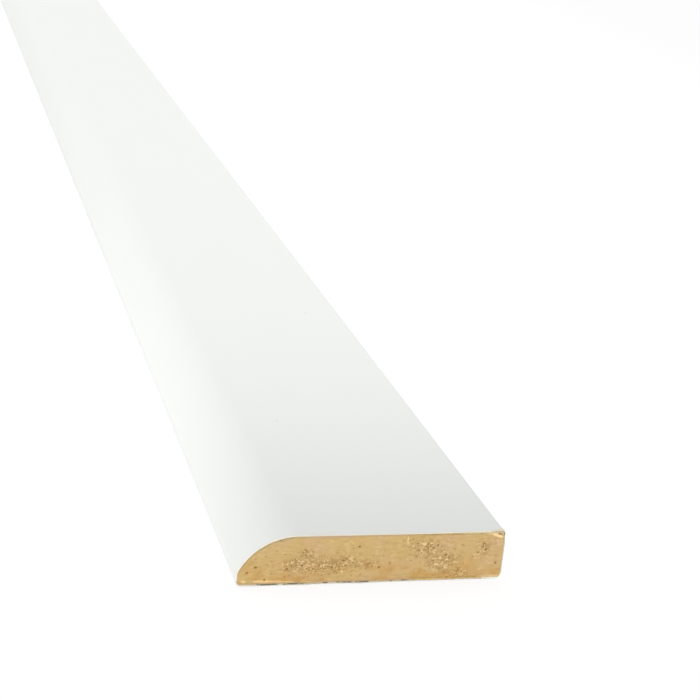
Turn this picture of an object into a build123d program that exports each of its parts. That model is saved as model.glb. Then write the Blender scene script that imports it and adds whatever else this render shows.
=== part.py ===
# An adhesive skirting strip: a thin fibreboard moulding wrapped in white foil on its face and both
# edges, with a band of double-sided tape and the tape's peel-off liner along its bare back.
#
# The strip lies on its back, as it does before it is fitted. X runs along it. Y runs across it, from
# the rounded top edge to the square edge that stands on the floor. Z goes up through its thickness.
# The origin is under the middle of the strip, on the plane that the liner rests on.
# All sizes are in millimetres.

import math
import os

from build123d import *

# The strip as it is sold, measured over the foil
strip_length = 2400.0
strip_width = 26.0
strip_thickness = 5.0

# The moulded section, measured on the foil's outer face
round_radius = 6.3  # the large round that brings the face down towards the top edge
nose_radius = 0.8  # the small round that carries on from it and ends upright
nose_height = 1.15  # from the back up to the centre of the small round
corner_radius = 0.45  # the eased corners: both back corners and the square edge's face corner

# The foil, which laps under the back along both edges
foil_thickness = 0.15
foil_lap = 2.0

# The tape and its liner
tape_width = 15.0
tape_thickness = 0.15
liner_thickness = 0.10
lap_to_tape = 0.4  # bare fibreboard left between the lap at the top edge and the tape

# Where the faces lie
top_edge = -strip_width / 2
floor_edge = strip_width / 2
core_back = liner_thickness + tape_thickness
wrap_back = core_back - foil_thickness
face = wrap_back + strip_thickness


def moulded_section(inset):
    """The strip's outline, inset from the foil's outer face. Every round keeps its own centre."""
    back_line = wrap_back + inset
    face_line = face - inset
    top_line = top_edge + inset
    floor_line = floor_edge - inset

    nose_centre = Vector(top_edge + nose_radius, wrap_back + nose_height)
    rise = nose_centre.Y - (face - round_radius)
    reach = math.sqrt((round_radius - nose_radius) ** 2 - rise**2)
    round_centre = nose_centre + Vector(reach, -rise)
    sweep = math.degrees(math.atan2(reach, rise))

    large_round = CenterArc(round_centre, round_radius - inset, 90, sweep)
    small_round = CenterArc(nose_centre, nose_radius - inset, 90 + sweep, 90 - sweep)
    straight_sides = FilletPolyline(
        small_round @ 1,
        (top_line, back_line),
        (floor_line, back_line),
        (floor_line, face_line),
        large_round @ 0,
        radius=corner_radius - inset,
    )
    return make_face([large_round, small_round, *straight_sides.edges()])


def full_length(section):
    """A section drawn across the strip, run out to both cut ends."""
    return extrude(Plane.YZ * section, amount=strip_length / 2, both=True)


def fibreboard_core():
    """The board itself: the moulded section without the foil's thickness."""
    return full_length(moulded_section(foil_thickness))


def white_foil():
    """One sheet bent round the core, from its lap at one back corner to its lap at the other."""
    bare_width = strip_width - 2 * foil_lap
    bare_back = Pos(0, wrap_back) * Rectangle(bare_width, 2 * foil_thickness)
    return full_length(moulded_section(0) - moulded_section(foil_thickness) - bare_back)


def tape_band(underside, topside):
    """A flat band as wide as the tape, between two heights, beside the foil's lap."""
    middle = top_edge + foil_lap + lap_to_tape + tape_width / 2
    band = Rectangle(tape_width, topside - underside)
    return full_length(Pos(middle, (underside + topside) / 2) * band)


def adhesive_tape():
    """Double-sided tape, stuck to the core's bare back."""
    return tape_band(liner_thickness, core_back)


def release_liner():
    """The liner that keeps the tape clean until it is peeled off, and that the strip rests on."""
    return tape_band(0, liner_thickness)


os.makedirs("parts", exist_ok=True)
for piece in (fibreboard_core, white_foil, adhesive_tape, release_liner):
    export_step(piece(), f"parts/{piece.__name__}.step")
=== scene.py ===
# An adhesive skirting strip: the looks of its four pieces and of the fibres that the saw tore.
# The strip lies on its back along X, with the end that the picture shows at +X, its rounded edge at
# -Y and its square floor edge at +Y. Lengths are in metres, written as millimetres times MM.

import math

import bpy
import numpy as np
from mathutils import Matrix, Vector


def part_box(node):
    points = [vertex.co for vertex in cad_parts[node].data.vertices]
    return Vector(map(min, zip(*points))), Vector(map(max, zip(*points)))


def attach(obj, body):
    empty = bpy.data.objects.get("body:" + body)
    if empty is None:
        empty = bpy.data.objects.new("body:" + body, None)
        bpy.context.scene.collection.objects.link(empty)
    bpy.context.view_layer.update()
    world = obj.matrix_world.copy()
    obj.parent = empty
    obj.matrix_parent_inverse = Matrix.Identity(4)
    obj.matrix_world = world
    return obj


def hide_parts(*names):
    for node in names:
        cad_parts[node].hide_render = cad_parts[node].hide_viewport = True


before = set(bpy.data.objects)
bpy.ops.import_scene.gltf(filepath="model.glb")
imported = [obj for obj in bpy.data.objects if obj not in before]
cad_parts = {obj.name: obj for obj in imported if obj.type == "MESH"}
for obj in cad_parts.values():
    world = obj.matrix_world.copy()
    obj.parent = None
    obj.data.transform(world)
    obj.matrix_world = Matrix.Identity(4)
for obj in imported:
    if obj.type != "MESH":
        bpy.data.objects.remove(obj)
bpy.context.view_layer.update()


# The fibreboard core. Ground wood fibres are pressed to a board, planed to the strip's section and
# sawn square at both ends. Its two skins are dense and cut cleanly. Its softer middle is where the
# saw pulls fibres out, and it is left pitted there, with pale torn ends between the pits.
# The pits and the sunken gaps between the torn ends are painted darker as painted shade, and the torn ends'
# raised middles carry a painted highlight.

MM = 0.001
core_low, core_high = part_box("fibreboard_core")
foil_low, foil_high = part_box("white_foil")
foil_thickness = core_low.y - foil_low.y

round_radius = 6.3 * MM  # the section's rounds and corners, measured on the foil
nose_radius = 0.8 * MM
nose_height = 1.15 * MM
corner_radius = 0.45 * MM
nose_points = 14  # along each round of the drawn section
round_points = 60
corner_points = 12

nose_centre = (foil_low.y + nose_radius, foil_low.z + nose_height)
nose_rise = nose_centre[1] - (foil_high.z - round_radius)
round_centre = (
    nose_centre[0] + math.sqrt((round_radius - nose_radius) ** 2 - nose_rise**2),
    foil_high.z - round_radius,
)
round_sweep = math.degrees(math.atan2(round_centre[0] - nose_centre[0], nose_rise))


def arc(centre, radius, start, end, steps):
    """Points along a round of the section, between two angles in degrees."""
    turn = np.radians(np.linspace(start, end, steps))
    return np.column_stack([centre[0] + radius * np.cos(turn), centre[1] + radius * np.sin(turn)])


def corner(side, level, inset, start, end):
    """One eased corner of the section: side is -1 or 1 along Y, and level is -1 or 1 along Z."""
    y = side * (foil_high.y - corner_radius)
    z = foil_high.z - corner_radius if level > 0 else foil_low.z + corner_radius
    return arc((y, z), corner_radius - inset, start, end, corner_points)


def face_line(inset):
    """The section from the top of the lip over both rounds and the face, down to the square edge."""
    nose = arc(nose_centre, nose_radius - inset, 180, 90 + round_sweep, nose_points)
    large_round = arc(round_centre, round_radius - inset, 90 + round_sweep, 90, round_points)
    return np.vstack([nose, large_round, corner(1, 1, inset, 90, 0)])


def back_line(inset):
    """The section from the foot of the lip along the back, up to the square edge."""
    return np.vstack([corner(-1, -1, inset, 180, 270), corner(1, -1, inset, 270, 360)])


def evenly(line, spacing):
    """The same line with its points the same distance apart."""
    steps = np.hypot(*np.diff(line, axis=0).T)
    run = np.concatenate([[0], np.cumsum(steps)])
    places = np.linspace(0, run[-1], int(run[-1] / spacing) + 1)
    return np.column_stack([np.interp(places, run, line[:, k]) for k in (0, 1)])


def drift(across, up, cell_across, cell_up, dice):
    """Smooth chance values from -1 to 1 over the cut end, in cells of the given size."""
    y = (across - across.min()) / cell_across
    z = (up - up.min()) / cell_up
    lattice = dice.uniform(-1, 1, (int(y.max()) + 2, int(z.max()) + 2))
    column, row = y.astype(int), z.astype(int)
    ease_y, ease_z = (part * part * (3 - 2 * part) for part in (y - column, z - row))
    low = lattice[column, row] * (1 - ease_y) + lattice[column + 1, row] * ease_y
    high = lattice[column, row + 1] * (1 - ease_y) + lattice[column + 1, row + 1] * ease_y
    return low * (1 - ease_z) + high * ease_z


grid_spacing = 0.06 * MM  # between the columns of a sawn end's grid, along the face line
rows = 78  # of that grid, from the back up to the face line
torn_zones = (  # where the saw tore most: the middle, half-width and half-height of each, in mm
    (-5.3, 1.9, 3.3, 1.05),
    (-7.8, 2.1, 1.1, 0.9),
    (-6.4, 3.2, 0.9, 0.6),
    (-3.4, 2.3, 1.9, 0.75),
    (-0.8, 2.0, 1.5, 0.55),
    (4.1, 4.0, 1.0, 0.6),
    (5.6, 3.2, 1.7, 1.0),
    (7.0, 2.0, 1.9, 1.0),
    (8.5, 0.9, 1.6, 0.6),
    (11.0, 3.3, 0.8, 0.8),
)
deep_pits = (  # the larger pits, most where a whole bundle of fibres came out, in mm
    (-11.2, 1.95),
    (-12.0, 1.4),
    (-10.3, 0.65),
    (-6.5, 3.55),
    (-8.2, 1.7),
    (-6.8, 2.0),
    (-2.8, 2.4),
    (-3.9, 1.7),
    (-1.4, 3.8),
    (0.7, 1.6),
    (6.3, 3.75),
    (5.9, 3.5),
    (7.2, 2.7),
    (10.9, 3.7),
    (10.4, 2.85),
    (12.3, 1.7),
    # The last two lie under the foil's chipped corner, sunk a little and painted dark there as a painted
    # shadow of the lifted foil.
    (12.38, 4.78),
    (12.60, 4.74),
)
flakes = (  # flakes that stayed on the shown end: both ends of each and its half-width in mm, and how pale
    ((-11.3, 0.54), (-9.7, 0.48), 0.20, 0.7),
    ((-9.9, 0.50), (-8.6, 0.44), 0.16, 0.5),
    ((-8.8, 0.44), (-7.4, 0.36), 0.12, 0.4),
    ((-12.5, 0.58), (-12.1, 0.50), 0.20, 0.65),
    ((-2.4, 4.50), (-1.9, 4.10), 0.05, 0.6),
    ((3.27, 4.75), (3.27, 4.05), 0.12, 0.5),
    ((11.75, 4.78), (12.7, 4.45), 0.22, 1.0),
    ((-6.9, 0.36), (-5.4, 0.32), 0.06, 0.4),
)
# On the far end the torn zones are mirrored, and only one flake stayed.
mirrored_zones = [(-y, z, half_width, half_height) for y, z, half_width, half_height in torn_zones]
far_flakes = flakes[3:4]
pit_count = 300
pit_size = (0.05, 0.12)  # half the length of a pit, in mm
deep_pit_size = (0.13, 0.19)
pit_spread = 0.7  # of a torn zone's half-width and half-height
pit_narrowness = (0.5, 0.9)  # the width of a pit as a share of its length
pit_tilt = 0.5  # radians from level, as a usual spread
pit_depth = 0.10 * MM
strand_height = 0.05 * MM
gap_depth = 0.04 * MM
swell_height = 0.02 * MM
flake_height = 0.05 * MM
skin_depth = 0.3 * MM  # of the dense rim, which the saw scorched
patch_cell = (0.8 * MM, 0.5 * MM)  # the chance patches and swells, across and up
swell_cell = (3.0 * MM, 1.6 * MM)
crook_cell = (0.30 * MM, 0.30 * MM)
crook_size = 0.09 * MM
coarse_cell = (0.32 * MM, 0.20 * MM)  # between the strands
fine_cell = (0.20 * MM, 0.15 * MM)
coarse_reach = 0.22  # how near 0 the chance values are along a strand
fine_reach = 0.16
fine_strength = 0.8


def zoned(across, up, zones):
    """How torn the cut end is at each point, from 0 where the cut is clean to 1 in a torn zone."""
    torn = np.zeros_like(across)
    for y, z, half_width, half_height in zones:
        reach = ((across / MM - y) / half_width) ** 2 + ((up / MM - z) / half_height) ** 2
        torn = np.maximum(torn, np.exp(-(reach**1.5) * 0.7))
    return torn


def pitted(across, up, zones, dice):
    """Small oval pits, most of them in the torn zones: 1 in the middle of each, down to 0."""
    pit = np.zeros_like(across)
    for number in range(pit_count):
        y, z, half_width, half_height = zones[number % len(zones)]
        y, z = dice.normal(y, pit_spread * half_width) * MM, dice.normal(z, pit_spread * half_height) * MM
        long = dice.uniform(*pit_size) * MM
        if number % 3 == 0:
            y, z = dice.uniform(core_low.y, core_high.y), dice.uniform(core_low.z, core_high.z)
        if number < len(deep_pits):
            y, z = deep_pits[number][0] * MM, deep_pits[number][1] * MM
            long = dice.uniform(*deep_pit_size) * MM
        narrow, tilt = dice.uniform(*pit_narrowness), dice.normal(0, pit_tilt)
        near = (np.abs(across - y) < long) & (np.abs(up - z) < long)
        dy, dz = across[near] - y, up[near] - z
        u = (dy * math.cos(tilt) + dz * math.sin(tilt)) / long
        v = (dz * math.cos(tilt) - dy * math.sin(tilt)) / (long * narrow)
        strength = 1 if number < len(deep_pits) else dice.uniform(0.25, 1) ** 1.5
        pit[near] = np.maximum(pit[near], np.clip(1 - u * u - v * v, 0, 1) * strength)
    return pit


def flaked(across, up, flakes):
    """How far each point lies within a long pale flake: 1 along its middle, and 0 outside it."""
    flake = np.zeros_like(across)
    for start, end, half_width, paleness in flakes:
        start, run = np.array(start), np.array(end) - np.array(start)
        along = ((across / MM - start[0]) * run[0] + (up / MM - start[1]) * run[1]) / (run @ run)
        nearest = np.clip(along, 0, 1)
        aside = across / MM - start[0] - nearest * run[0]
        above = up / MM - start[1] - nearest * run[1]
        off = np.hypot(aside, above)
        taper = 0.5 + 0.5 * np.sqrt(np.clip(4 * nearest * (1 - nearest), 0, 1))
        flake = np.maximum(flake, paleness * np.clip(1.6 * (1 - off / (half_width * taper)), 0, 1))
    return flake


def strands(across, up, dice):
    """Thin crooked lines, mostly level, as the ends of fibre bundles lie: 1 along each, down to 0."""
    crook = crook_size * drift(across, up, *crook_cell, dice)
    coarse = drift(across, up + crook, *coarse_cell, dice)
    fine = drift(across, up + crook, *fine_cell, dice)
    coarse_line = np.clip(1 - np.abs(coarse) / coarse_reach, 0, 1)
    fine_line = np.clip(1 - np.abs(fine) / fine_reach, 0, 1)
    return np.maximum(coarse_line, fine_line * fine_strength)


def sawn_end(across, up, edge, zones, flakes, dice):
    """How far the sawn surface stands out at each point, and its shades for the finish."""
    patchy = 0.5 + 0.5 * drift(across, up, *patch_cell, dice)
    torn = zoned(across, up, zones) * (0.50 + 0.50 * patchy)
    strand = strands(across, up, dice) * (0.10 * patchy + 0.90 * torn)
    gap = torn * (1 - strands(across, up, dice))
    pit = pitted(across, up, zones, dice)
    flake = flaked(across, up, flakes)
    skin = np.clip(1 - edge / skin_depth, 0, 1)
    swell = drift(across, up, *swell_cell, dice)
    rough = strand_height * strand - gap_depth * gap
    out = swell_height * swell + rough * (1 - flake) + flake_height * flake - pit_depth * pit
    strand, gap = strand * (1 - flake), gap * (1 - flake)
    return out, {"strand": strand, "gap": gap, "pit": pit, "flake": flake, "skin": skin}


def grid_faces(grid):
    """The faces between the points of a grid, from the points' numbers."""
    corners = [grid[:-1, :-1], grid[1:, :-1], grid[1:, 1:], grid[:-1, 1:]]
    return np.stack(corners, -1).reshape(-1, 4)


def grid_rim(grid):
    """The numbers of a grid's outer points, in order round it."""
    return np.concatenate([grid[:, 0], grid[-1, 1:], grid[-2::-1, -1], grid[0, -2:0:-1]])


def walls(near, far):
    """The faces between two closed lines that have the same number of points."""
    return np.stack([near, far, np.roll(far, -1), np.roll(near, -1)], -1)


chip_width = 2.0 * MM  # of the shown end's upper floor corner, which chipped off with a flake
chip_height = 0.6 * MM
chipped_rings = 2
side_rings = (0.08, 1.0, 20.0, 400.0, 1200.0, 2000.0, 2380.0, 2399.0, 2399.92)  # mm from the shown end


def core_mesh():
    """Both sawn ends as fine grids, and the long sides between them."""
    upper = evenly(face_line(foil_thickness), grid_spacing)
    under = back_line(foil_thickness)
    lower = np.interp(upper[:, 0], under[:, 0], under[:, 1])
    lower[0], lower[-1] = under[0, 1], under[-1, 1]
    share = np.linspace(0, 1, rows + 1)
    across = np.repeat(upper[:, :1], rows + 1, axis=1)
    depth = (upper[:, 1] - lower)[:, None]
    up = lower[:, None] + depth * share
    edge = depth * np.minimum(share, 1 - share)
    index = np.arange(across.size).reshape(across.shape)
    rim, quads = grid_rim(index), grid_faces(index)

    near_dice, far_dice = np.random.default_rng(11), np.random.default_rng(23)
    near_out, near_shades = sawn_end(across, up, edge, torn_zones, flakes, near_dice)
    far_out, far_shades = sawn_end(across, up, edge, mirrored_zones, far_flakes, far_dice)
    near_end = np.stack([core_high.x + near_out, across, up], -1).reshape(-1, 3)
    far_end = np.stack([core_low.x - far_out, across, up], -1).reshape(-1, 3)

    points, faces = [near_end, far_end], [quads, quads[:, ::-1] + across.size]
    loops = [rim]
    for inset in side_rings:
        loops.append(sum(map(len, points)) + np.arange(len(rim)))
        points.append(np.column_stack([np.full(len(rim), core_high.x - inset * MM), near_end[rim, 1:]]))
    loops.append(rim + across.size)
    for near, far in zip(loops[:-1], loops[1:]):
        faces.append(walls(near, far))

    plain = np.zeros(len(rim) * len(side_rings))
    shades = {}
    for name, values in near_shades.items():
        shades[name] = np.concatenate([values.ravel(), far_shades[name].ravel(), plain])
    rim_side, rim_height = near_end[rim, 1], near_end[rim, 2]
    chipped = (rim_side > core_high.y - chip_width) & (rim_height > core_high.z - chip_height)
    start = 2 * across.size
    shades["flake"][start : start + chipped_rings * len(rim)] = np.tile(chipped, chipped_rings)
    return np.vstack(points), np.vstack(faces), shades


def piece(name, points, faces, smooth_under=40, **shades):
    """A mesh object from its points and faces, smooth except across edges sharper than an angle."""
    mesh = bpy.data.meshes.new(name)
    mesh.from_pydata(np.asarray(points).tolist(), [], [list(map(int, face)) for face in faces])
    for shade, values in shades.items():
        mesh.attributes.new(shade, "FLOAT", "POINT").data.foreach_set("value", values.astype(np.float32))
    mesh.shade_smooth()
    mesh.set_sharp_from_angle(angle=math.radians(smooth_under))
    made = bpy.data.objects.new(name, mesh)
    bpy.context.scene.collection.objects.link(made)
    return made


class Wire:
    """One output in a material. Sums and products of wires and numbers add the nodes for them."""

    def __init__(self, tree, socket=None):
        self.tree = tree
        self.socket = socket

    def node(self, kind, settings=None, sockets=None, give=0):
        """Adds a node, sets it up, feeds its sockets and gives the wire from one of its outputs."""
        made = self.tree.nodes.new("ShaderNode" + kind)
        for name, value in (settings or {}).items():
            if name == "stops":
                made.color_ramp.elements[0].position, made.color_ramp.elements[0].color = value[0]
                made.color_ramp.elements[1].position, made.color_ramp.elements[1].color = value[-1]
                for position, colour in value[1:-1]:
                    made.color_ramp.elements.new(position).color = colour
            else:
                setattr(made, name, value)
        for name, value in (sockets or {}).items():
            if isinstance(value, Wire):
                self.tree.links.new(value.socket, made.inputs[name])
            else:
                made.inputs[name].default_value = value
        return Wire(self.tree, made.outputs[give] if len(made.outputs) else None)

    def shade(self, name):
        """The values that the mesh's points carry under a name."""
        return self.node("Attribute", {"attribute_name": name}, give="Fac")

    def maths(self, operation, *values):
        return self.node("Math", {"operation": operation}, dict(enumerate(values)))

    def __add__(self, other):
        return self.maths("ADD", self, other)

    def __sub__(self, other):
        return self.maths("SUBTRACT", self, other)

    def __rsub__(self, other):
        return self.maths("SUBTRACT", other, self)

    def __mul__(self, other):
        return self.maths("MULTIPLY", self, other)

    __radd__ = __add__
    __rmul__ = __mul__

    def between(self, low, high):
        """0 where the wire is at or under low, 1 where it is at or over high, and eased between."""
        return self.node("MapRange", {"interpolation_type": "SMOOTHSTEP"}, {0: self, 1: low, 2: high})

    def paint(self, under, over):
        """The colour under, changed to the colour over as far as this wire says."""
        return self.node("Mix", {"data_type": "RGBA"}, {0: self, 6: under, 7: over}, give=2)

    def stretched(self, by):
        """A place scaled along each axis."""
        return self.node("VectorMath", {"operation": "MULTIPLY"}, {0: self, 1: by})

    def noise(self, size, detail=2, roughness=0.5):
        """Cloudy values from 0 to 1 at this place, about one cloud to each size."""
        sockets = {"Vector": self, "Scale": 1 / size, "Detail": detail, "Roughness": roughness}
        return self.node("TexNoise", None, sockets)


def new_finish(name):
    """An empty material, as a wire to add its nodes to."""
    material = bpy.data.materials.new(name)
    material.use_nodes = True
    material.node_tree.nodes.clear()
    return material, Wire(material.node_tree)


def surface(finish, colour, roughness, normal, shine):
    """The shader at the end of a finish. Shine is how strongly it mirrors, with 0.5 as on plastic."""
    sockets = {"Base Color": colour, "Roughness": roughness, "Normal": normal, "Specular IOR Level": shine}
    finish.node("OutputMaterial", None, {"Surface": finish.node("BsdfPrincipled", None, sockets)})


def share_across(side):
    """A place across the strip, as 0 at its rounded edge and 1 at its floor edge."""
    return (side - foil_low.y) * (1 / (foil_high.y - foil_low.y))


def raw_fibreboard():
    material, board = new_finish("raw_fibreboard")
    place = board.node("TexCoord", give="Object")
    strand, gap, pit, flake, skin = map(board.shade, ("strand", "gap", "pit", "flake", "skin"))
    side = board.node("SeparateXYZ", None, {0: place}, give="Y")
    height = board.node("SeparateXYZ", None, {0: place}, give="Z")
    ochre = (0.595, 0.42, 0.176, 1)
    rosy = (0.615, 0.415, 0.222, 1)
    amber = (0.56, 0.335, 0.115, 1)
    straw = (0.85, 0.64, 0.335, 1)
    russet = (0.33, 0.185, 0.065, 1)
    cream = (0.93, 0.70, 0.38, 1)
    golden = (0.84, 0.57, 0.26, 1)
    umber = (0.25, 0.145, 0.055, 1)
    sallow = (0.43, 0.35, 0.20, 1)
    brown = (0.50, 0.345, 0.215, 1)
    olive = (0.34, 0.27, 0.095, 1)
    husk = (0.76, 0.62, 0.38, 1)
    clouds = place.noise(4.5 * MM, 2)
    wisps = place.stretched((1, 0.5, 1)).noise(1.3 * MM, 3)
    grain = place.stretched((1, 0.4, 1)).noise(0.30 * MM, 4, 0.6)
    broken = place.noise(0.9 * MM, 3, 0.6)
    high_up = height.between(1.0 * MM, 4.2 * MM)
    colour = (clouds.between(0.40, 0.56) * (0.4 + high_up * 0.6)).paint(ochre, rosy)
    low_down = height.between(3.2 * MM, 0.4 * MM)
    colour = (wisps.between(0.40, 0.62) * (0.15 + low_down * 0.75)).paint(colour, amber)
    colour = (grain.between(0.50, 0.28) * 0.22).paint(colour, umber)
    colour = (grain.between(0.52, 0.72) * 0.34).paint(colour, straw)
    # Painted shade: the sunken gaps between the strands in the torn zones are painted russet, for the shade
    # that falls in them.
    colour = (gap.between(0.15, 0.9) * 0.60).paint(colour, russet)
    # The strands are painted paler: straw for the torn fibre's own paler colour, and cream toward their
    # raised middles as a painted highlight.
    colour = (strand.between(0.10, 0.6) * 0.85).paint(colour, straw)
    colour = (strand.between(0.6, 1.0) * 0.60).paint(colour, cream)
    stops = [
        (0.0, sallow),
        (0.24, sallow),
        (0.30, brown),
        (0.60, brown),
        (0.72, olive),
        (0.90, olive),
        (0.935, husk),
        (1.0, husk),
    ]
    scorch = board.node("ValToRGB", {"stops": stops}, {0: share_across(side)})
    colour = (skin.between(0.15, 0.80) * (0.45 + broken.between(0.38, 0.60) * 0.45)).paint(colour, scorch)
    pressed = side.between(8.0 * MM, 9.5 * MM) * height.between(4.4 * MM, 4.6 * MM)
    darkened = pressed * side.between(11.7 * MM, 11.0 * MM) * skin.between(0.30, 0.60)
    colour = (darkened * 0.5).paint(colour, olive)
    colour = (pressed * skin.between(0.62, 0.72) * 0.8).paint(colour, husk)
    colour = (flake.between(0.08, 0.45) * 0.85).paint(colour, golden)
    colour = flake.between(0.65, 0.95).paint(colour, cream)
    # Painted shade: the pits are painted dark umber for the shade in them, besides being sunk.
    colour = (pit.between(0.1, 0.8) * 0.80).paint(colour, umber)
    normal = board.node("Bump", None, {"Strength": 0.3, "Distance": 0.02 * MM, "Height": grain})
    surface(board, colour, 0.82 + grain * 0.1, normal, shine=0.25)
    return material


points, faces, shades = core_mesh()
core = piece("sawn_core", points, faces, **shades)
core.data.materials.append(raw_fibreboard())
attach(core, "root")
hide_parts("fibreboard_core")


# The torn fibres. At both sawn ends some bundles of fibres are bent out of the board's middle and
# stay there, held by one end or by both. They are paler than the board around them.

fibre_length = (0.10, 0.30)  # of a bundle, in mm
fibre_width = (0.035, 0.08)
fibre_thickness = 0.035 * MM
fibre_turn = 0.38  # radians from level, as a usual spread
fibre_bow = 0.05
fibre_lift = (0.03, 0.10)
fibre_rings = 8  # of four points, from tip to tip
tip_bluntness = 1.04  # 1 would be a point
tip_depth = 0.02 * MM
near_fibres = 360
far_fibres = 300
spread_across = 0.72  # of a torn zone's half-width
spread_up = 0.62  # of its half-height
stray_share = 0.12  # of the fibres, away from the torn zones
round_margin = 1.0 * MM  # left between the fibres and the rounded edge
edge_margin = 0.6 * MM  # the same for the floor edge and the face
back_margin = 0.3 * MM
burr_fibres = 110
burr_stretch = (4.3, 10.9)  # mm along the back edge, bare from the tape to the foil's lap
burr_length = (0.25, 0.75)
burr_width = (0.08, 0.20)
burr_drop = (0.05, 0.35)  # how far under the board's back, as a share of a fibre's width
burr_turn = 0.12
burr_lift = (0, 0.02)
burr_clearance = 0.05 * MM  # between them and the floor


def fibre(middle, turn, length, width, bow, lift):
    """One flat bundle that tapers to both tips and bows out of the sawn end, as if that were at X = 0."""
    points = []
    for step in np.linspace(-1, 1, fibre_rings):
        slim = 0.5 * width * math.sqrt(tip_bluntness - step * step)
        arch = 1 - step * step
        along, aside = 0.5 * length * step, bow * arch
        out = lift * arch - tip_depth
        for reach, thick in ((-slim, 0), (0, fibre_thickness), (slim, 0), (0, -fibre_thickness)):
            y = middle[0] + along * math.cos(turn) - (aside + reach) * math.sin(turn)
            z = middle[1] + along * math.sin(turn) + (aside + reach) * math.cos(turn)
            points.append((out + thick, y, z))
    ring = np.arange(4)
    side = np.stack([ring, np.roll(ring, -1), np.roll(ring, -1) + 4, ring + 4], -1)
    sides = [side + 4 * k for k in range(fibre_rings - 1)]
    return np.array(points), np.vstack([*sides, [ring[::-1]], [ring + 4 * (fibre_rings - 1)]])


def joined(lots):
    """Several lots of fibres as one: the points, faces and shades of all."""
    points, faces, shades = [], [], []
    start = 0
    for corners, quads, shade in lots:
        points.append(corners)
        faces.append(quads + start)
        shades.append(shade)
        start += len(corners)
    return np.vstack(points), np.vstack(faces), np.concatenate(shades)


def torn_fibres(zones, number, dice):
    """All the fibres of one sawn end, most of them in its torn zones, with a shade for each."""
    fibres = []
    areas = np.array([half_width * half_height for _, _, half_width, half_height in zones])
    face_points = face_line(foil_thickness)[:-corner_points]
    for _ in range(number):
        y, z, half_width, half_height = zones[dice.choice(len(zones), p=areas / areas.sum())]
        y, z = dice.normal(y, spread_across * half_width), dice.normal(z, spread_up * half_height)
        place = [y * MM, z * MM]
        if dice.uniform() < stray_share:
            place = [dice.uniform(core_low.y, core_high.y), dice.uniform(core_low.z, core_high.z)]
        place[0] = np.clip(place[0], core_low.y + round_margin, core_high.y - edge_margin)
        top = np.interp(place[0], face_points[:, 0], face_points[:, 1])
        place[1] = np.clip(place[1], core_low.z + back_margin, top - edge_margin)
        turn = dice.normal(0, fibre_turn)
        length, width = dice.uniform(*fibre_length) * MM, dice.uniform(*fibre_width) * MM
        bow, lift = dice.normal(0, fibre_bow) * MM, dice.uniform(*fibre_lift) * MM
        corners, quads = fibre(place, turn, length, width, bow, lift)
        fibres.append((corners, quads, np.full(len(corners), dice.uniform(0, 1) ** 1.5)))
    return joined(fibres)


def back_burr(number, dice):
    """Fibres that the saw pushed out past the board's back edge, so that they hang just under it."""
    fibres = []
    for _ in range(number):
        length, width = dice.uniform(*burr_length) * MM, dice.uniform(*burr_width) * MM
        place = (dice.uniform(*burr_stretch) * MM, core_low.z - dice.uniform(*burr_drop) * width)
        turn, lift = dice.normal(0, burr_turn), dice.uniform(*burr_lift) * MM
        corners, quads = fibre(place, turn, length, width, 0, lift)
        corners[:, 2] = np.maximum(corners[:, 2], burr_clearance)
        fibres.append((corners, quads, np.full(len(corners), dice.uniform(0, 0.5))))
    return joined(fibres)


def pale_fibre():
    material, wood = new_finish("pale_fibre")
    place = wood.node("TexCoord", give="Object")
    paleness = wood.shade("paleness")
    streak = place.stretched((1, 0.3, 1)).noise(0.12 * MM, 3, 0.6)
    tan = (0.60, 0.41, 0.17, 1)
    straw = (0.86, 0.66, 0.36, 1)
    brown = (0.50, 0.32, 0.13, 1)
    colour = paleness.paint(tan, straw)
    colour = (streak.between(0.52, 0.36) * 0.4).paint(colour, brown)
    normal = wood.node("Bump", None, {"Strength": 0.3, "Distance": 0.01 * MM, "Height": streak})
    surface(wood, colour, 0.75 + streak * 0.15, normal, shine=0.25)
    return material


burr = back_burr(burr_fibres, np.random.default_rng(47))
near_torn = torn_fibres(torn_zones, near_fibres, np.random.default_rng(31))
far_torn = torn_fibres(mirrored_zones, far_fibres, np.random.default_rng(37))
near_points, near_faces, near_shades = joined([near_torn, burr])
far_points, far_faces, far_shades = joined([far_torn, burr])
near_points[:, 0] = core_high.x + near_points[:, 0]
far_points[:, 0] = core_low.x - far_points[:, 0]
near_end = (near_points, near_faces, near_shades)
far_end = (far_points, far_faces[:, ::-1], far_shades)
points, faces, paleness = joined([near_end, far_end])
fibres = piece("torn_fibres", points, faces, smooth_under=80, paleness=paleness)
fibres.data.materials.append(pale_fibre())
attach(fibres, "root")


# The white foil. One thin sheet of decor foil is glued round the core from back corner to back
# corner, with a short lap under each. It is cut with the board, so its edge shows at the ends as a
# fine greyish line.

foil_lap = 2.0 * MM
end_rings = (0, 0.05, 0.12, 0.3, 1.0, 4.0, 15.0, 50.0, 120.0, 250.0, 500.0, 800.0)  # mm from each end
point_spacing = 0.14 * MM  # round the section
edge_wander = 0.006 * MM  # of the cut edge, from one point to the next
wander_reach = 4 * MM  # along the strip
chip_depth = 0.45 * MM  # at the chipped corner, where the foil's outer skin is torn back
chip_shift = 0.2 * MM  # its middle, from the corner towards the face
burst = 0.11 * MM  # how far the saw pushed that corner's foil out
burst_reach = 1.2 * MM  # along the strip
burst_width = 0.5 * MM  # round the section
specks = (  # dirt rolled in under the foil: the place and size of each
    ((1133.1 * MM, 8.4 * MM, foil_high.z), 0.30 * MM),
    ((1171.3 * MM, -3.4 * MM, foil_high.z), 0.25 * MM),
    ((412.0 * MM, 4.1 * MM, foil_high.z), 0.30 * MM),
    ((-655.0 * MM, -1.6 * MM, foil_high.z), 0.35 * MM),
)
speck_strength = 0.22


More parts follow.
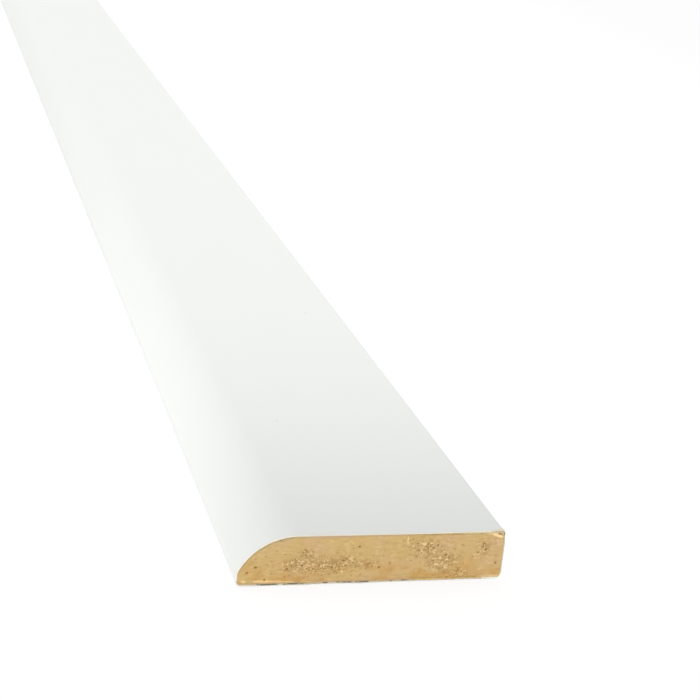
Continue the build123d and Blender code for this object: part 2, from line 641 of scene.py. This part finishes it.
def wrap_line(inset):
    """The foil's line round the section, from the end of one lap to the end of the other."""
    back = foil_low.z + inset
    first = [[foil_low.y + foil_lap, back]]
    last = [[foil_high.y - foil_lap, back]]
    round_edge = corner(-1, -1, inset, 270, 180)
    square_edge = corner(1, -1, inset, 0, -90)
    return np.vstack([first, round_edge, face_line(inset), square_edge, last])


def divided(line, counts):
    """The same line with each of its stretches cut into this many."""
    parts = []
    for start, end, count in zip(line[:-1], line[1:], counts):
        parts.append(start + (end - start) * np.arange(count)[:, None] / count)
    return np.vstack([*parts, line[-1:]])


def foil_mesh():
    """The sheet with its thickness, wandering a little at both cut edges, and how cut each point is."""
    outer, inner = wrap_line(0), wrap_line(foil_thickness)
    stretches = np.hypot(*np.diff(outer, axis=0).T)
    counts = np.ceil(stretches / point_spacing).astype(int)
    outer, inner = divided(outer, counts), divided(inner, counts)
    loop = np.vstack([outer, inner[::-1]])
    count, half = len(loop), len(outer)
    dice = np.random.default_rng(5)
    wander = np.cumsum(dice.normal(0, edge_wander, (2, half)), axis=1)
    wander = wander - np.linspace(wander[:, 0], wander[:, -1], half).T
    run = np.concatenate([[0], np.cumsum(np.hypot(*np.diff(outer, axis=0).T))])
    corner_run = run[np.argmin(np.hypot(outer[:, 0] - foil_high.y, outer[:, 1] - foil_high.z))]
    chip_place = (run - corner_run + chip_shift) / (0.5 * chip_width)
    chipped_off = [0 * run, chip_depth * np.exp(-(chip_place**4))]
    pushed = burst * np.exp(-(((run - corner_run) / burst_width) ** 2))
    pushed = np.column_stack([pushed, np.zeros(half)])
    stations = [foil_low.x + inset * MM for inset in end_rings] + [0.0]
    stations += [foil_high.x - inset * MM for inset in reversed(end_rings)]
    points, cut = [], []
    for x in stations:
        side = int(x > 0)
        inset = min(x - foil_low.x, foil_high.x - x)
        near = max(0.0, 1 - inset / wander_reach)
        shift = np.concatenate([(wander[side] - chipped_off[side]) * near, wander[side, ::-1] * near])
        out = side * max(0.0, 1 - inset / burst_reach) * np.vstack([pushed, pushed[::-1]])
        points.append(np.column_stack([x + shift, loop + out]))
        bare = float(inset == 0)
        cut.append(np.concatenate([np.full(half, bare), np.full(half, 0.5 * bare)]))
    faces = []
    ring = np.arange(count)
    for k in range(len(stations) - 1):
        faces.append(walls(k * count + ring, (k + 1) * count + ring))
    strip = np.arange(half - 1)
    cap = np.stack([strip, strip + 1, count - 2 - strip, count - 1 - strip], -1)
    faces.append(cap)
    faces.append((cap + (len(stations) - 1) * count)[:, ::-1])
    return np.vstack(points), np.vstack(faces), np.concatenate(cut)


def white_satin():
    material, foil = new_finish("white_satin_foil")
    place = foil.node("TexCoord", give="Object")
    cut = foil.shade("cut")
    side = foil.node("SeparateXYZ", None, {0: place}, give="Y")
    height = foil.node("SeparateXYZ", None, {0: place}, give="Z")
    white = (0.80, 0.813, 0.784, 1)
    grey = (0.74, 0.75, 0.71, 1)
    cream = (0.88, 0.84, 0.70, 1)
    warm = (0.79, 0.72, 0.61, 1)
    ivory = (0.82, 0.76, 0.58, 1)
    pink = (0.76, 0.63, 0.49, 1)
    butter = (0.95, 0.88, 0.66, 1)
    shaded = (0.60, 0.50, 0.34, 1)
    soaked = (0.50, 0.385, 0.24, 1)
    dirt = (0.40, 0.38, 0.33, 1)
    stops = [(0.0, cream), (0.20, cream), (0.26, warm), (0.70, warm), (0.78, ivory), (1.0, ivory)]
    edge = foil.node("ValToRGB", {"stops": stops}, {0: share_across(side)})
    edge = (side.between(12.6 * MM, 12.8 * MM) * height.between(4.6 * MM, 4.3 * MM)).paint(edge, shaded)
    lap = side.between(-1 * MM, 1 * MM).paint(pink, butter)
    edge = height.between(0.8 * MM, 0.5 * MM).paint(edge, lap)
    edge = cut.between(0.80, 0.55).paint(edge, soaked)
    faint = place.stretched((0.3, 1, 1)).noise(6 * MM, 3)
    colour = (faint * 0.06).paint(white, grey)
    colour = cut.between(0.35, 0.45).paint(colour, edge)
    for speck, size in specks:
        away = foil.node("VectorMath", {"operation": "DISTANCE"}, {0: place, 1: speck}, give="Value")
        colour = (away.between(size, 0.4 * size) * speck_strength).paint(colour, dirt)
    grain = place.noise(0.25 * MM, 3, 0.6)
    normal = foil.node("Bump", None, {"Strength": 0.05, "Distance": 0.01 * MM, "Height": grain})
    surface(foil, colour, 0.36 + faint * 0.08, normal, shine=0.35)
    return material


points, faces, cut = foil_mesh()
foil = piece("wrapped_foil", points, faces, cut=cut)
foil.data.materials.append(white_satin())
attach(foil, "root")
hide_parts("white_foil")


# The adhesive tape. A double-sided tape is rolled on along the bare back, and cut with the board. Its
# cut ends are painted sallow and near black in broken patches, which show as a broken line under the sawn
# end.

band_steps = 64  # from edge to edge
band_rings = (0, 0.15, 0.4, 1.0, 2.5, 6.0, 15.0, 40.0, 100.0, 220.0, 420.0, 700.0, 1000.0)


def ragged(steps, size, smooth, dice):
    """Chance values along a line that has this many steps, each like its neighbours."""
    values = np.convolve(dice.normal(0, 1, steps + 2 * smooth), np.ones(smooth) / math.sqrt(smooth), "same")
    return size * values[smooth : smooth + steps]


def band_mesh(low, high, end_size, side_size, set_back, dice):
    """A flat band with slightly ragged ends and sides, and how near its cut ends each point is."""
    stations = sorted({side * (high.x - inset * MM) for side in (-1, 1) for inset in band_rings} | {0.0})
    width = np.linspace(low.y, high.y, band_steps)
    share = np.linspace(0, 1, band_steps)
    first = ragged(band_steps, end_size, 5, dice)
    last = ragged(band_steps, end_size, 5, dice)
    wander = ragged(len(stations), side_size, 3, dice)
    layers, cut = [], []
    for level in (low.z, high.z):
        for number, x in enumerate(stations):
            shift = np.zeros(band_steps)
            if number == 0:
                shift = set_back + first
            if number == len(stations) - 1:
                shift = -set_back - last
            y = width + wander[number] * share
            layers.append(np.column_stack([x + shift, y, np.full(band_steps, level)]))
            cut.append(np.full(band_steps, float(number in (0, len(stations) - 1))))
    index = np.arange(2 * len(stations) * band_steps).reshape(2, len(stations), band_steps)
    under, over = index[0].T, index[1].T
    sides = walls(grid_rim(under), grid_rim(over))
    faces = np.vstack([grid_faces(under), grid_faces(over)[:, ::-1], sides])
    return np.vstack(layers), faces, np.concatenate(cut)


def tacky_tape():
    material, band = new_finish("tacky_tape")
    place = band.node("TexCoord", give="Object")
    cut = band.shade("cut")
    blotches = place.noise(1.5 * MM, 3, 0.7)
    clean = (0.62, 0.63, 0.56, 1)
    sallow = (0.56, 0.46, 0.29, 1)
    near_black = (0.17, 0.155, 0.11, 1)
    # Darker in broken patches: the cut ends are painted sallow and near black there, and the rest of the
    # band a quarter as dark.
    colour = (cut.between(0.5, 1.0) * blotches.between(0.35, 0.45)).paint(clean, sallow)
    colour = ((0.25 + cut * 0.75) * blotches.between(0.49, 0.56)).paint(colour, near_black)
    normal = band.node("Bump", None, {"Strength": 0.3, "Distance": 0.03 * MM, "Height": blotches})
    surface(band, colour, 0.3 + blotches * 0.5, normal, shine=0.5)
    return material


off_line = Vector((0, -0.25 * MM, 0))  # the tape went on a little towards the rounded edge
tape_low, tape_high = (corner_place + off_line for corner_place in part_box("adhesive_tape"))
tape_ragged = (0.03 * MM, 0.04 * MM, 0.03 * MM)  # its ends, its sides, and how far its ends are set back
points, faces, cut = band_mesh(tape_low, tape_high, *tape_ragged, np.random.default_rng(41))
tape = piece("tape_band", points, faces, cut=cut)
tape.data.materials.append(tacky_tape())
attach(tape, "root")
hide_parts("adhesive_tape")


# The release liner. A strip of coated paper keeps the tape clean until the skirting is stuck on. The
# strip rests on it. The saw leaves its ends a little ragged, and short of the board.


def coated_paper():
    material, paper = new_finish("coated_paper")
    place = paper.node("TexCoord", give="Object")
    pulp = place.noise(0.8 * MM, 4, 0.6)
    dull = (0.72, 0.70, 0.63, 1)
    pale = (0.80, 0.78, 0.72, 1)
    colour = pulp.paint(dull, pale)
    normal = paper.node("Bump", None, {"Strength": 0.2, "Distance": 0.02 * MM, "Height": pulp})
    surface(paper, colour, 0.35 + pulp * 0.15, normal, shine=0.4)
    return material


liner_low, liner_high = (corner_place + off_line for corner_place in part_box("release_liner"))
liner_ragged = (0.05 * MM, 0.05 * MM, 0.05 * MM)
points, faces, _ = band_mesh(liner_low, liner_high, *liner_ragged, np.random.default_rng(43))
liner = piece("liner_band", points, faces)
liner.data.materials.append(coated_paper())
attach(liner, "root")
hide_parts("release_liner")


# The floor, the white surroundings, the lamps and the camera. The floor and the surroundings look
# white themselves, and throw less light on the strip than they show.

floor_half = 30.0
floor_corners = [(x * floor_half, y * floor_half, 0) for x, y in ((-1, -1), (1, -1), (1, 1), (-1, 1))]
floor_mesh = bpy.data.meshes.new("floor")
floor_mesh.from_pydata(floor_corners, [], [(0, 1, 2, 3)])
floor = bpy.data.objects.new("floor", floor_mesh)
bpy.context.scene.collection.objects.link(floor)


def seen_directly(wire):
    """1 for what the camera sees itself or in a reflection, and 0 for light that falls on things."""
    rays = ("Is Camera Ray", "Is Glossy Ray", "Is Transmission Ray")
    straight, glossy, through = (wire.node("LightPath", give=name) for name in rays)
    return wire.maths("MAXIMUM", wire.maths("MAXIMUM", straight, glossy), through)


material, ground = new_finish("pale_floor")
lit = ground.node("BsdfDiffuse", None, {"Color": (0.22, 0.22, 0.22, 1)})
glow = ground.node("Emission", None, {"Color": (1, 1, 1, 1), "Strength": 0.835})
bright = ground.node("AddShader", None, {0: lit, 1: glow})
# A painted contact shadow: where the strip closes the floor in, as in the narrow gaps under it, the floor's
# glow is left out and only its lit part shows.
contact_occlusion = ground.node("AmbientOcclusion", {"samples": 8}, {"Distance": 1.5 * MM}, give="AO")
bright = ground.node("MixShader", None, {0: contact_occlusion.between(0.02, 0.09), 1: lit, 2: bright})
plain = ground.node("BsdfDiffuse", None, {"Color": (0.85, 0.85, 0.85, 1)})
shown = ground.node("MixShader", None, {0: seen_directly(ground), 1: plain, 2: bright})
ground.node("OutputMaterial", None, {"Surface": shown})
floor_mesh.materials.append(material)

world = bpy.data.worlds.new("white_room")
bpy.context.scene.world = world
world.use_nodes = True
world.node_tree.nodes.clear()
room = Wire(world.node_tree)
soft = room.node("Background", None, {"Color": (1, 1, 1, 1), "Strength": 0.56})
white = room.node("Background", None, {"Color": (1, 1, 1, 1), "Strength": 1.0})
shown = room.node("MixShader", None, {0: seen_directly(room), 1: soft, 2: white})
room.node("OutputWorld", None, {"Surface": shown})


def lamp(name, place, aim, size, watts):
    """A flat lamp that lights the strip, and isn't seen itself or in a reflection."""
    made = bpy.data.objects.new(name, bpy.data.lights.new(name, "AREA"))
    made.data.shape = "RECTANGLE"
    made.data.size, made.data.size_y = size
    made.data.energy = watts
    made.location = place
    made.rotation_euler = (Vector(aim) - Vector(place)).to_track_quat("-Z", "Y").to_euler()
    made.visible_camera = made.visible_glossy = False
    bpy.context.scene.collection.objects.link(made)


lamp("overhead_tent", (-4 * MM, 0, 46 * MM), (-4 * MM, 0, 0), (2.4, 0.3), 1.17)
lamp("side_lamp", (0.4, -3.0, 0.2), (0.4, 0, 0), (3.4, 0.3), 7)
lamp("low_side_lamp", (1.21, -0.15, 0.012), (1.21, 0, 0.002), (0.16, 0.012), 0.05)
lamp("front_lamp", (4.0, -0.2, 0.4), (0.6, 0, 0), (1.6, 0.7), 37)
lamp("back_lamp", (-4.0, 0.2, 0.4), (-0.6, 0, 0), (1.6, 0.7), 38)

bpy.context.scene.view_settings.view_transform = "Standard"
camera_place = Vector((1338.6, -43.9, 71.6)) * MM
aimed_at = Vector((1140.2, 12.95, 2.45)) * MM
camera_roll = math.radians(5.47)
camera = bpy.data.objects.new("camera", bpy.data.cameras.new("camera"))
camera.data.lens = 87.4
camera.data.clip_start = 5 * MM
bpy.context.scene.collection.objects.link(camera)
level_look = (aimed_at - camera_place).to_track_quat("-Z", "Y").to_matrix().to_4x4()
camera.matrix_world = Matrix.Translation(camera_place) @ level_look @ Matrix.Rotation(camera_roll, 4, "Z")
bpy.context.scene.camera = camera
